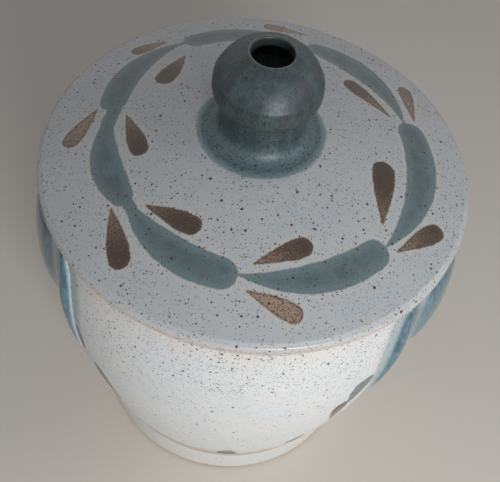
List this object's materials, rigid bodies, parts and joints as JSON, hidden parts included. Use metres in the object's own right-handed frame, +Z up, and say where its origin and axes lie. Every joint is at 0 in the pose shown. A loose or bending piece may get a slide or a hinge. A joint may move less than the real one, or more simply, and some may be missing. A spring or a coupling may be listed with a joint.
{
  "type": "onion keeper",
  "caption": "Lidded stoneware onion keeper: round speckled-glaze crock on a foot ring, strap handles on the shoulder, domed lid with a locating ring and a hollow vented knob.",
  "frame": {"origin": "On the surface that the crock stands on, at the axis of the turned shapes.", "axes": "+Z points up along the axis. +X runs to the handle that is on the right in the picture. The pictured front faces -Y."},
  "size_m": [0.24, 0.22, 0.292],
  "materials": {
    "body_glaze": "satin pale grey-white glaze with iron speckles",
    "foot_glaze": "satin pale glaze",
    "handle_right_glaze": "glossy teal glaze",
    "handle_left_glaze": "glossy teal glaze",
    "lid_glaze": "satin pale grey glaze with iron speckles and brush strokes",
    "ring_clay": "bare fired stoneware",
    "stem_glaze": "semi-gloss blue-green speckled glaze",
    "cap_glaze": "semi-gloss blue-green speckled glaze"
  },
  "bodies": {
    "jar": {"crock_body": "body_glaze", "foot_ring": "foot_glaze", "handle_right": "handle_right_glaze", "handle_left": "handle_left_glaze"},
    "lid": {"lid_plate": "lid_glaze", "lid_locating_ring": "ring_clay", "knob_stem": "stem_glaze", "knob_cap": "cap_glaze"}
  },
  "joints": [
    {"name": "lid_lift", "type": "slide", "parent": "jar", "child": "lid", "axis": [0, 0, 1], "range_m": [0, 0.08]}
  ]
}
